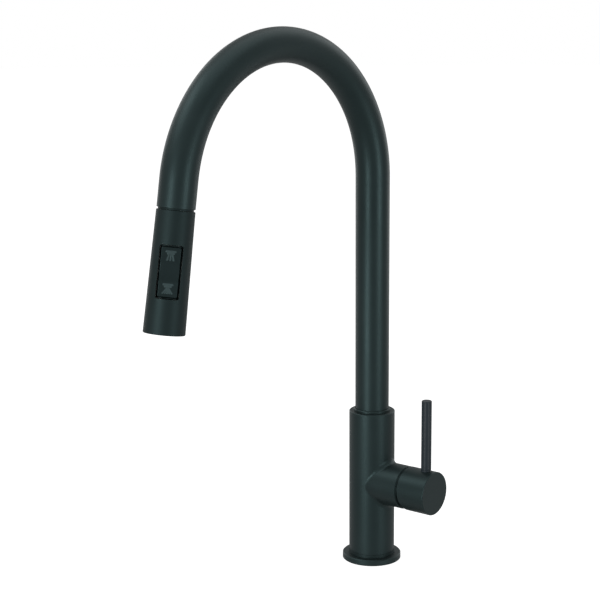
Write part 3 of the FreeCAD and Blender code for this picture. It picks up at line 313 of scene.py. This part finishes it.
class Wires:
    """Adds nodes to one node tree and joins them up."""

    def __init__(self, tree):
        self.tree = tree

    def add(self, kind, sockets=None, **settings):
        """A node with its settings, and each socket set to a value or joined to an output."""
        made = self.tree.nodes.new(kind)
        for key, value in settings.items():
            setattr(made, key, value)
        for key, value in (sockets or {}).items():
            if isinstance(value, bpy.types.NodeSocket):
                self.tree.links.new(value, made.inputs[key])
            else:
                made.inputs[key].default_value = value
        return made

    def maths(self, operation, a, b=0.0, c=0.0):
        """One Math node's output."""
        return self.add("ShaderNodeMath", {0: a, 1: b, 2: c}, operation=operation).outputs[0]

    def noise(self, vector, scale, detail=3.0, rough=0.5):
        """A noise value between about 0.3 and 0.7."""
        return self.add("ShaderNodeTexNoise", {
            "Vector": vector, "Scale": scale, "Detail": detail, "Roughness": rough,
        }).outputs["Fac"]

    def ramp(self, value, low, high, to_low=0.0, to_high=1.0):
        """The value moved from one range to another, held at its ends."""
        return self.add("ShaderNodeMapRange", {
            "Value": value, "From Min": low, "From Max": high,
            "To Min": to_low, "To Max": to_high,
        }).outputs["Result"]

    def mix(self, factor, a, b):
        """One colour faded into another."""
        made = self.add("ShaderNodeMix", data_type="RGBA")
        for key, value in ((0, factor), (6, a), (7, b)):
            if isinstance(value, bpy.types.NodeSocket):
                self.tree.links.new(value, made.inputs[key])
            else:
                made.inputs[key].default_value = value
        return made.outputs[2]

    def bump(self, height, strength, distance, normal=None):
        """A normal bent by a height."""
        sockets = {"Height": height, "Strength": strength, "Distance": distance}
        if normal is not None:
            sockets["Normal"] = normal
        return self.add("ShaderNodeBump", sockets).outputs["Normal"]


def rgba(shade):
    """A colour with full alpha."""
    return (*shade, 1.0)


def new_group(name, inputs, outputs):
    """An empty shader node group with named sockets: (name, kind, default)."""
    tree = bpy.data.node_groups.new(name, "ShaderNodeTree")
    for words, kind, default in inputs:
        socket = tree.interface.new_socket(name=words, in_out="INPUT", socket_type=kind)
        if default is not None:
            socket.default_value = default
    for words, kind in outputs:
        tree.interface.new_socket(name=words, in_out="OUTPUT", socket_type=kind)
    wires = Wires(tree)
    return tree, wires, wires.add("NodeGroupInput").outputs, wires.add("NodeGroupOutput").inputs


FLOAT, COLOUR, VECTOR = "NodeSocketFloat", "NodeSocketColor", "NodeSocketVector"


def coat_group():
    """A sprayed or moulded coat: slow clouds in its colour, a fine pebble in its surface, and
    roughness that follows both."""
    name = "Coat grain"
    if name in bpy.data.node_groups:
        return bpy.data.node_groups[name]
    tree, wires, given, result = new_group(name, [
        ("Vector", VECTOR, None), ("Colour", COLOUR, None), ("Cloud Colour", COLOUR, None),
        ("Cloud Scale", FLOAT, 22.0), ("Grain Scale", FLOAT, 2600.0),
        ("Grain Depth", FLOAT, 0.25), ("Roughness", FLOAT, 0.42),
        ("Roughness Spread", FLOAT, 0.08),
    ], [("Colour", COLOUR), ("Roughness", FLOAT), ("Normal", VECTOR)])
    cloud = wires.noise(given["Vector"], given["Cloud Scale"], 4.0, 0.55)
    grain = wires.noise(given["Vector"], given["Grain Scale"], 2.0, 0.6)
    shade = wires.mix(wires.ramp(cloud, 0.35, 0.68), given["Colour"], given["Cloud Colour"])
    speck = wires.ramp(grain, 0.60, 0.74, 0.0, 0.22)
    shade = wires.mix(speck, shade, given["Cloud Colour"])
    tree.links.new(shade, result["Colour"])
    swing = wires.maths("MULTIPLY", wires.ramp(cloud, 0.3, 0.7, -0.5, 0.5),
                        given["Roughness Spread"])
    swing = wires.maths("ADD", swing, wires.maths(
        "MULTIPLY", wires.ramp(grain, 0.3, 0.7, -0.5, 0.5), given["Roughness Spread"]))
    tree.links.new(wires.maths("ADD", given["Roughness"], swing), result["Roughness"])
    tree.links.new(wires.bump(grain, given["Grain Depth"], 0.00012), result["Normal"])
    return tree


def drawn_group():
    """Fine lines drawn along one direction, as turned, drawn or brushed metal has."""
    name = "Drawn lines"
    if name in bpy.data.node_groups:
        return bpy.data.node_groups[name]
    tree, wires, given, result = new_group(name, [
        ("Vector", VECTOR, None), ("Colour", COLOUR, None), ("Line Colour", COLOUR, None),
        ("Stretch", VECTOR, (1.0, 1.0, 0.02)), ("Line Scale", FLOAT, 1800.0),
        ("Depth", FLOAT, 0.2), ("Roughness", FLOAT, 0.34), ("Roughness Spread", FLOAT, 0.10),
    ], [("Colour", COLOUR), ("Roughness", FLOAT), ("Normal", VECTOR)])
    long = wires.add("ShaderNodeVectorMath", {0: given["Vector"], 1: given["Stretch"]},
                     operation="MULTIPLY").outputs[0]
    line = wires.noise(long, given["Line Scale"], 3.0, 0.6)
    shade = wires.mix(wires.ramp(line, 0.35, 0.7), given["Colour"], given["Line Colour"])
    tree.links.new(shade, result["Colour"])
    swing = wires.maths("MULTIPLY", wires.ramp(line, 0.3, 0.7, -0.5, 0.5),
                        given["Roughness Spread"])
    tree.links.new(wires.maths("ADD", given["Roughness"], swing), result["Roughness"])
    tree.links.new(wires.bump(line, given["Depth"], 0.00008), result["Normal"])
    return tree


def finish(name, preview=(0.1, 0.1, 0.1)):
    """A new material: its wires, its Principled shader and its Object coordinates."""
    material = bpy.data.materials.new(name)
    material.use_nodes = True
    material.diffuse_color = rgba(preview)
    wires = Wires(material.node_tree)
    shader = material.node_tree.nodes["Principled BSDF"]
    place = wires.add("ShaderNodeTexCoord").outputs["Object"]
    return material, wires, shader, place


def wire_group(wires, tree, shader, sockets):
    """Places a group and feeds its colour, roughness and normal to the shader."""
    made = wires.add("ShaderNodeGroup", node_tree=tree)
    for key, value in sockets.items():
        if isinstance(value, bpy.types.NodeSocket):
            wires.tree.links.new(value, made.inputs[key])
        else:
            made.inputs[key].default_value = value
    for out, into in (("Colour", "Base Color"), ("Roughness", "Roughness"),
                      ("Normal", "Normal")):
        wires.tree.links.new(made.outputs[out], shader.inputs[into])
    return made


# The satin black's highlights are a little blue-green.
SATIN_TINT = (0.62, 0.98, 1.0, 1.0)


def coated(name, base, cloud, rough=0.42, spread=0.08, grain=2600.0, depth=0.25,
           specular=0.44):
    """A satin coat on metal or plastic."""
    material, wires, shader, place = finish(name, base)
    wire_group(wires, coat_group(), shader, {
        "Vector": place, "Colour": rgba(base), "Cloud Colour": rgba(cloud),
        "Grain Scale": grain, "Grain Depth": depth, "Roughness": rough,
        "Roughness Spread": spread,
    })
    shader.inputs["Specular IOR Level"].default_value = specular
    shader.inputs["Specular Tint"].default_value = SATIN_TINT
    return material


def drawn(name, base, line, stretch=(1.0, 1.0, 0.02), rough=0.34, spread=0.10,
          scale=1800.0, depth=0.2, metallic=0.0, specular=0.28):
    """A finish with fine lines along one direction."""
    material, wires, shader, place = finish(name, base)
    wire_group(wires, drawn_group(), shader, {
        "Vector": place, "Colour": rgba(base), "Line Colour": rgba(line),
        "Stretch": stretch, "Line Scale": scale, "Depth": depth, "Roughness": rough,
        "Roughness Spread": spread,
    })
    shader.inputs["Metallic"].default_value = metallic
    shader.inputs["Specular IOR Level"].default_value = specular
    return material


def marked(name, base, raised, rough=0.40):
    """The rocker's moulded plastic, with the raised marks in a paler grey."""
    material, wires, shader, place = finish(name, base)
    made = wire_group(wires, coat_group(), shader, {
        "Vector": place, "Colour": rgba(base), "Cloud Colour": rgba([c * 1.3 for c in base]),
        "Grain Scale": 3200.0, "Grain Depth": 0.2, "Roughness": rough,
        "Roughness Spread": 0.08,
    })
    shader.inputs["Specular IOR Level"].default_value = 0.30
    shader.inputs["Specular Tint"].default_value = SATIN_TINT
    share = wires.add("ShaderNodeAttribute", attribute_name="raised").outputs["Fac"]
    worn = wires.ramp(wires.noise(place, 900.0), 0.3, 0.7, 0.75, 1.0)
    shade = wires.mix(wires.maths("MULTIPLY", share, worn), made.outputs["Colour"],
                      rgba(raised))
    wires.tree.links.new(shade, shader.inputs["Base Color"])
    return material


def braided(name, thread):
    """A braid of crossing threads round the straight stretch over the spray head: the angle a
    about its axis and the height h give two sets of ridges, sin(n a + k h) and
    sin(n a - k h), and the higher one shows. Its colour is painted shade in the valleys,
    a quarter of the thread's, and painted highlight on the ridge tops, nearly twice it."""
    material, wires, shader, place = finish(name, thread)
    turn = Matrix((ACROSS, BACK, -DOWN)).to_4x4()
    turned_place = wires.add("ShaderNodeMapping", {
        "Vector": place,
        "Location": turn @ Vector(-HEAD_TOP),
        "Rotation": turn.to_euler("XYZ"),
    }).outputs[0]
    split = wires.add("ShaderNodeSeparateXYZ", {0: turned_place}).outputs
    angle = wires.maths("MULTIPLY", wires.maths("ARCTAN2", split[1], split[0]), 12.0)
    height = wires.maths("MULTIPLY", split[2], 2200.0)
    ridges = [
        wires.maths("SINE", wires.maths(way, angle, height)) for way in ("ADD", "SUBTRACT")
    ]
    top = wires.maths("MAXIMUM", *ridges)
    # painted shade and highlight: the braid's valleys darken to a quarter of the thread colour and the ridge tops
    # pale to nearly twice it
    shade = wires.mix(wires.ramp(top, -0.2, 1.0), rgba([c * 0.25 for c in thread]),
                      rgba([c * 1.8 for c in thread]))
    wires.tree.links.new(shade, shader.inputs["Base Color"])
    wires.tree.links.new(wires.ramp(top, -0.2, 1.0, 0.8, 0.45), shader.inputs["Roughness"])
    wires.tree.links.new(wires.bump(top, 0.8, 0.0002), shader.inputs["Normal"])
    return material


def paint(piece, material):
    """The piece in one material."""
    piece.data.materials.clear()
    piece.data.materials.append(material)
    return piece


def finishes(colours):
    """Every material, by the record's slot name, made once."""
    kept = {m.name: m for m in bpy.data.materials}
    if "black_metal" in kept and kept["black_metal"].get("tap_finish"):
        return {slot: kept[slot] for slot in SLOTS}
    for slot in SLOTS:
        if slot in kept:
            kept[slot].name = slot + "_packed"
    c = colours
    black, light = tuple(c.black), tuple(c.black_light)
    made = [
        coated("black_metal", black, light, rough=0.44, depth=0.22),
        coated("black_spout", black, light, rough=0.43, depth=0.22),
        drawn("black_lever", tuple(c.lever), tuple(x * 1.45 for x in c.lever), rough=0.36,
              spread=0.12, depth=0.22),
        coated("black_plastic", black, light, rough=0.52, grain=3400.0, depth=0.18,
               specular=0.30),
        marked("rocker_plastic", tuple(c.rocker), tuple(c.mark)),
        drawn("steel", tuple(c.steel), tuple(x * 0.8 for x in c.steel),
              stretch=(0.05, 0.05, 1.0), rough=0.30, metallic=1.0, scale=1500.0),
        drawn("brass", tuple(c.brass), tuple(x * 0.8 for x in c.brass),
              stretch=(0.05, 0.05, 1.0), rough=0.32, metallic=1.0, scale=1500.0),
        coated("rubber", tuple(c.rubber), tuple(x * 1.7 for x in c.rubber), rough=0.70,
               grain=1800.0, depth=0.3),
        coated("silicone", (0.06, 0.063, 0.063), (0.08, 0.083, 0.083), rough=0.55,
               grain=2400.0, depth=0.15),
        coated("white_plastic", tuple(c.resin), tuple(x * 0.93 for x in c.resin), rough=0.40,
               grain=2200.0, depth=0.1),
        coated("ceramic_disc", tuple(c.ceramic), tuple(x * 0.95 for x in c.ceramic),
               rough=0.16, spread=0.04, grain=4000.0, depth=0.05),
        braided("hose_braid", tuple(c.braid)),
    ]
    for material in made:
        material["tap_finish"] = True
    return {material.name: material for material in made}


SLOTS = [entry["slot"] for entry in frame["record"]["materials"]]


# ---------------------------------------------------------------- operators


class TapOperator:
    """What every operator of the tap shares."""

    bl_options = {"REGISTER", "UNDO"}

    def shown(self, piece, slot, *nodes):
        """The piece in its finish, standing for its CAD nodes."""
        paint(piece, finishes(bpy.context.scene.tap_finishes)[slot])
        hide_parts(*nodes)
        return piece


class TAP_OT_gooseneck(TapOperator, bpy.types.Operator):
    """Build the spout's bent tube, with its rolled mouth"""

    bl_idname = "tap.gooseneck"
    bl_label = "Gooseneck"

    def execute(self, context):
        sizes = context.scene.tap_sizes
        whole = line_length(TUBE_FOOT, 0, sizes.tube_tail, sizes)
        rise = sizes.bend_start - TUBE_FOOT
        arc = sizes.arch_radius * ARCH_TURN
        edge, outer = sizes.tube_edge, sizes.tube_radius
        inner = outer - sizes.tube_wall
        out_side = np.concatenate([
            np.linspace(0, rise, 40, endpoint=False),
            np.linspace(rise, rise + arc, 150, endpoint=False),
            np.linspace(rise + arc, whole - edge * 2, 10),
        ])
        t = np.linspace(0, np.pi / 2, 6)
        lip_along = whole - edge + edge * np.sin(t)
        in_side = out_side[::-2]
        along = np.concatenate([out_side, lip_along, lip_along[::-1], in_side])
        radius = np.concatenate([
            np.full(len(out_side), outer), outer - edge + edge * np.cos(t),
            (inner + edge - edge * np.cos(t))[::-1], np.full(len(in_side), inner),
        ])
        rows = carried(along, radius, TUBE_FOOT, 0, sizes, 112, sizes.arch_press)
        tube = surface("gooseneck", rows, closed=True)
        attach(tube, "spout")
        self.shown(tube, "black_spout", "spout_tube")
        return {"FINISHED"}


class TAP_OT_hose(TapOperator, bpy.types.Operator):
    """Build the braided pull-out hose, up through the spout and down to the spray head"""

    bl_idname = "tap.hose"
    bl_label = "Pull-out hose"

    # the stretch that draws out, the finer rows before it, and the end held by the ferrule
    stretch = 11 * MM
    lead = 2 * MM
    held = 0.4 * MM

    def execute(self, context):
        sizes = context.scene.tap_sizes
        shift = sizes.hose_shift
        gap = np.linalg.norm(HEAD_TOP - gooseneck_line(
            np.array([line_length(TUBE_FOOT, 0, sizes.tube_tail, sizes)]), TUBE_FOOT, 0, sizes
        )[0][0])
        tail = sizes.tube_tail + gap + shift - sizes.hose_end
        whole = line_length(HOSE_FOOT, shift, tail, sizes)
        radius = sizes.arch_radius - shift / math.tan(ARCH_TURN / 2)
        crown = sizes.bend_start + shift - HOSE_FOOT + radius * math.pi / 2
        fine = whole - self.stretch - self.lead
        up = self.hose("hose_in_neck", np.linspace(0, crown, 90), sizes)
        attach(up, "spout")
        down = self.hose("hose_to_head", np.concatenate([
            np.linspace(crown, fine, 70, endpoint=False), np.linspace(fine, whole, 260),
        ]), sizes)
        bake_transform(down)
        for piece in (up, down):
            self.shown(piece, "hose_braid", "pull_out_hose")
        return {"FINISHED"}

    def hose(self, name, along, sizes):
        """One stretch of the hose, closed at both ends."""
        shift = sizes.hose_shift
        rows = carried(along, np.full(len(along), sizes.hose_radius), HOSE_FOOT, shift, sizes, 40)
        ends = gooseneck_line(along[[0, -1]], HOSE_FOOT, shift, sizes)[0]
        return surface(name, rows, low=ends[0], high=ends[1])


class TAP_OT_lever(TapOperator, bpy.types.Operator):
    """Build the thin upright lever, with its chamfered top and its foot in the hub"""

    bl_idname = "tap.lever"
    bl_label = "Lever"

    def execute(self, context):
        sizes = context.scene.tap_sizes
        radius, edge = sizes.lever_radius, sizes.lever_edge
        foot = HUB_HIGH[2] - 1 * MM
        top = LEVER_HIGH[2]
        crown = HUB_HIGH[2]
        corners = [
            (0, foot, 0), (radius, foot, 0), (radius, crown + 0.5 * MM, 0.1 * MM),
            (radius - 0.25 * MM, crown + 0.75 * MM, 0.1 * MM),
            (radius - 0.25 * MM, crown + 1.15 * MM, 0.1 * MM),
            (radius, crown + 1.4 * MM, 0.1 * MM),
            (radius, top - edge, 0.12 * MM), (radius - edge, top, 0.12 * MM), (0, top, 0),
        ]
        lever = turned("lever", corners, np.array([LEVER_X, 0, 0]), np.eye(3), 72, solid=True)
        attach(lever, "handle")
        self.shown(lever, "black_lever", "handle_lever")
        return {"FINISHED"}


class TAP_OT_rocker(TapOperator, bpy.types.Operator):
    """Build the rocker's plate: a thumb hollow, soft edges and two raised marks"""

    bl_idname = "tap.rocker"
    bl_label = "Rocker"

    # distances down from the spray head's face, before its turn
    front_depth = 12.3 * MM
    back_depth = 10.4 * MM
    pin_depth = 9.5 * MM
    hollow_radius = 30 * MM

    def relief(self, x, z, sizes):
        """How raised each point is, 0 to 1. The upper mark is a jet: a nozzle bar over one
        straight stream. The lower mark is a spray: a nozzle bar over a fan of streams."""
        reach = 0.18 * MM

        def bar(x0, z0, x1, z1, half):
            """Distance to a straight bar with round ends, less its half width."""
            dx, dz = x1 - x0, z1 - z0
            t = np.clip(((x - x0) * dx + (z - z0) * dz) / (dx * dx + dz * dz), 0, 1)
            return np.hypot(x - x0 - t * dx, z - z0 - t * dz) - half

        parts = []
        for middle, lines in (
            (11.6 * MM, [(-1.5, -2.3), (0, 0), (1.5, 2.3)]),
            (-11.8 * MM, [(-0.9, -3.3), (-0.45, -1.65), (0, 0), (0.45, 1.65), (0.9, 3.3)]),
        ):
            parts.append(bar(-3.0 * MM, middle + 3.0 * MM, 3.0 * MM, middle + 3.0 * MM, 0.80 * MM))
            parts.append(bar(-1.9 * MM, middle + 1.6 * MM, 1.9 * MM, middle + 1.6 * MM, 0.80 * MM))
            for near, far in lines:
                parts.append(bar(near * MM, middle + 0.3 * MM, far * MM, middle - 3.2 * MM,
                                 0.48 * MM))
        nearest = np.minimum.reduce(parts)
        return 1 - smooth_step(-reach, reach, nearest)

    def execute(self, context):
        sizes = context.scene.tap_sizes
        half_width, half_length = sizes.rocker_width / 2, sizes.rocker_length / 2
        corner, soft = sizes.rocker_corner, 0.45 * MM
        across, down = 111, 281
        v = np.linspace(-1, 1, down)
        u = np.linspace(-1, 1, across)
        z = np.repeat((v * half_length)[:, None], across, 1)
        past = np.maximum(np.abs(z) - (half_length - corner), 0)
        half = half_width - corner + np.sqrt(np.maximum(corner**2 - past**2, 0))
        x = u[None] * half
        rim = np.minimum(half - np.abs(x), half_length - np.abs(z))
        t = np.clip(1 - rim / soft, 0, 1)
        fall = soft * (1 - np.sqrt(1 - t * t))
        hollow_radius = self.hollow_radius
        reach = math.sqrt(hollow_radius**2 - (hollow_radius - sizes.rocker_hollow) ** 2)
        hollow = np.where(
            np.abs(z) < reach,
            np.sqrt(np.maximum(hollow_radius**2 - z**2, 0))
            - (hollow_radius - sizes.rocker_hollow), 0)
        raised = self.relief(x, z, sizes)
        depth = self.front_depth - 0.1 * MM - fall - hollow + raised * sizes.mark_height
        middle = ROCKER_PIN + BACK * self.pin_depth
        front = (middle + x[..., None] * ACROSS - depth[..., None] * BACK
                 - z[..., None] * DOWN)
        rim_index = np.concatenate([
            np.arange(across - 1), np.arange(down - 1) * across + across - 1,
            (down - 1) * across + np.arange(across - 1, 0, -1),
            np.arange(down - 1, 0, -1) * across,
        ])
        points = front.reshape(-1, 3)
        index = np.arange(len(points)).reshape(down, across)
        quads = np.stack([index[:-1, :-1], index[:-1, 1:], index[1:, 1:], index[1:, :-1]],
                         -1).reshape(-1, 4)
        flat = points[rim_index] + ((points[rim_index] - middle) @ -BACK
                                    - self.back_depth)[:, None] * BACK
        count = len(points)
        skirt = count + np.arange(len(rim_index))
        quads = np.vstack([quads, np.stack(
            [np.roll(rim_index, -1), rim_index, skirt, np.roll(skirt, -1)], -1)])
        centre = middle - BACK * self.back_depth
        points = np.vstack([points, flat, centre])
        fan = np.stack([np.roll(skirt, -1), skirt, np.full(len(skirt), len(points) - 1)], -1)
        plate = mesh_piece("rocker_plate", points, quads, fan)
        mark(plate.data, "raised", np.concatenate([raised.ravel(), np.zeros(len(skirt) + 1)]))
        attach(plate, "rocker")
        self.shown(plate, "rocker_plastic", "rocker_button")
        return {"FINISHED"}


class TAP_OT_finishes(TapOperator, bpy.types.Operator):
    """Give every CAD node that shows the finish of its material slot"""

    bl_idname = "tap.finishes"
    bl_label = "Finishes"

    def execute(self, context):
        made = finishes(context.scene.tap_finishes)
        slots = {s["node"]: s["material_slot"] for s in frame["record"]["subparts"]}
        for name, node in frame["nodes"].items():
            paint(node, made[slots[name]])
        return {"FINISHED"}


class TAP_OT_stage(bpy.types.Operator):
    """Lay the pale floor and set the soft lights and the camera"""

    bl_idname = "tap.stage"
    bl_label = "Studio"
    bl_options = {"REGISTER", "UNDO"}

    camera_place = (0.740770, -1.017125, 0.470781)
    camera_yaw = math.radians(38.780)
    camera_pitch = math.radians(11.174)
    camera_roll = math.radians(-0.352)
    camera_lens = 93.34
    # name, place, what it points at, size across and up, watts
    lamps = (
        ("left_strip", (0.03, -1.6, 0.12), (0.0, 0.0, 0.12), 0.38, 0.64, 9.5),
        ("right_strip", (1.59, -0.19, 0.12), (0.0, 0.0, 0.12), 0.38, 0.74, 5.6),
        ("high_back", (-0.1, 1.5, 1.9), (0.0, -0.1, 0.4), 1.6, 1.2, 4.0),
        ("high_left", (-0.9, -1.1, 1.9), (0.0, -0.1, 0.4), 1.5, 1.0, 10.5),
        ("overhead", (0.1, -0.1, 2.4), (0.0, -0.1, 0.4), 2.2, 2.2, 11.0),
        ("back_right", (0.2, 1.9, 0.6), (0.0, 0.0, 0.3), 1.2, 1.8, 6.0),
        ("back_left", (-1.9, 0.5, 0.6), (0.0, 0.0, 0.3), 1.2, 1.8, 6.0),
    )
    surround = 0.43
    floor_rings = (0.3, 1.0, 3.0, 9.0)
    floor_grey = 0.42
    floor_glow = 0.93

    def execute(self, context):
        colours = context.scene.tap_finishes
        self.lay_floor(tuple(colours.floor))
        for lamp in self.lamps:
            self.hang(*lamp)
        self.light_round()
        self.place_camera(context.scene)
        return {"FINISHED"}

    def lay_floor(self, shade):
        """A wide round floor at the worktop's height. It glows pale to the camera, and is left
        out of the tap's shadows and reflections, so that the strips also light it from below."""
        angle = np.linspace(0, 2 * np.pi, 96, endpoint=False)
        ring = np.stack([np.cos(angle), np.sin(angle), np.zeros(96)], -1)
        rows = np.array(self.floor_rings)[:, None, None] * ring
        floor = surface("floor", rows, low=np.zeros(3))
        if floor.data.polygons[0].normal.z < 0:
            floor.data.flip_normals()
        material, wires, shader, place = finish("floor_sweep", shade)
        cloud = wires.noise(place, 1.5, 2.0)
        grey = [x * self.floor_grey for x in shade]
        wires.tree.links.new(wires.mix(cloud, rgba(grey), rgba([x * 0.985 for x in grey])),
                             shader.inputs["Base Color"])
        shader.inputs["Roughness"].default_value = 0.9
        shader.inputs["Specular IOR Level"].default_value = 0.0
        seen = wires.add("ShaderNodeLightPath").outputs["Is Camera Ray"]
        shader.inputs["Emission Color"].default_value = rgba(shade)
        wires.tree.links.new(wires.maths("MULTIPLY", seen, self.floor_glow),
                             shader.inputs["Emission Strength"])
        paint(floor, material)
        floor.visible_shadow = floor.visible_glossy = floor.visible_diffuse = False

    def hang(self, name, place, target, width, height, watts):
        """A soft rectangular lamp that points at a target."""
        lamp = bpy.data.lights.new(name, "AREA")
        lamp.shape, lamp.size, lamp.size_y, lamp.energy = "RECTANGLE", width, height, watts
        hung = bpy.data.objects.new(name, lamp)
        hung.location = place
        aim = Vector(target) - Vector(place)
        hung.rotation_euler = aim.to_track_quat("-Z", "Y").to_euler()
        bpy.context.scene.collection.objects.link(hung)

    def light_round(self):
        """A grey surround that the camera itself sees as white."""
        world = bpy.data.worlds.new("surround")
        world.use_nodes = True
        wires = Wires(world.node_tree)
        seen = wires.add("ShaderNodeLightPath").outputs["Is Camera Ray"]
        grey = (self.surround, self.surround, self.surround)
        back = world.node_tree.nodes["Background"]
        wires.tree.links.new(wires.mix(seen, rgba(grey), (1.0, 1.0, 1.0, 1.0)),
                             back.inputs["Color"])
        bpy.context.scene.world = world
        bpy.context.scene.view_settings.view_transform = "Standard"

    def place_camera(self, scene):
        """The camera, from its yaw, pitch and roll."""
        cos, sin = math.cos, math.sin
        yaw, pitch, roll = self.camera_yaw, self.camera_pitch, self.camera_roll
        ahead = np.array([-sin(yaw) * cos(pitch), cos(yaw) * cos(pitch), -sin(pitch)])
        right = unit(np.cross(ahead, (0, 0, 1)))
        up = np.cross(right, ahead)
        right, up = right * cos(roll) + up * sin(roll), up * cos(roll) - right * sin(roll)
        camera = bpy.data.objects.new("camera", bpy.data.cameras.new("camera"))
        camera.data.lens = self.camera_lens
        camera.data.sensor_width = 36.0
        camera.matrix_world = Matrix.Translation(self.camera_place) @ Matrix(
            np.stack([right, up, -ahead], -1).tolist()).to_4x4()
        scene.collection.objects.link(camera)
        scene.camera = camera


OPERATORS = (TAP_OT_finishes, TAP_OT_gooseneck, TAP_OT_hose, TAP_OT_lever, TAP_OT_rocker,
             TAP_OT_stage)


class TAP_PT_panel(bpy.types.Panel):
    """The tap's pieces, sizes and colours"""

    bl_idname = "TAP_PT_panel"
    bl_label = "Kitchen tap"
    bl_space_type = "VIEW_3D"
    bl_region_type = "UI"
    bl_category = "Tap"

    def draw(self, context):
        column = self.layout.column(align=True)
        for operator in OPERATORS:
            column.operator(operator.bl_idname)
        for group in (context.scene.tap_sizes, context.scene.tap_finishes):
            column = self.layout.column()
            for name in group.__annotations__:
                column.prop(group, name)


CLASSES = (TapSizes, TapFinishes, *OPERATORS, TAP_PT_panel)


def register():
    for each in CLASSES:
        bpy.utils.register_class(each)
    bpy.types.Scene.tap_sizes = bpy.props.PointerProperty(type=TapSizes)
    bpy.types.Scene.tap_finishes = bpy.props.PointerProperty(type=TapFinishes)


def unregister():
    del bpy.types.Scene.tap_finishes
    del bpy.types.Scene.tap_sizes
    for each in reversed(CLASSES):
        bpy.utils.unregister_class(each)


def main():
    """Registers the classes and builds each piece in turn."""
    register()
    bpy.ops.tap.finishes()
    bpy.ops.tap.gooseneck()
    bpy.ops.tap.hose()
    bpy.ops.tap.lever()
    bpy.ops.tap.rocker()
    bpy.ops.tap.stage()


if __name__ == "__main__":
    main()
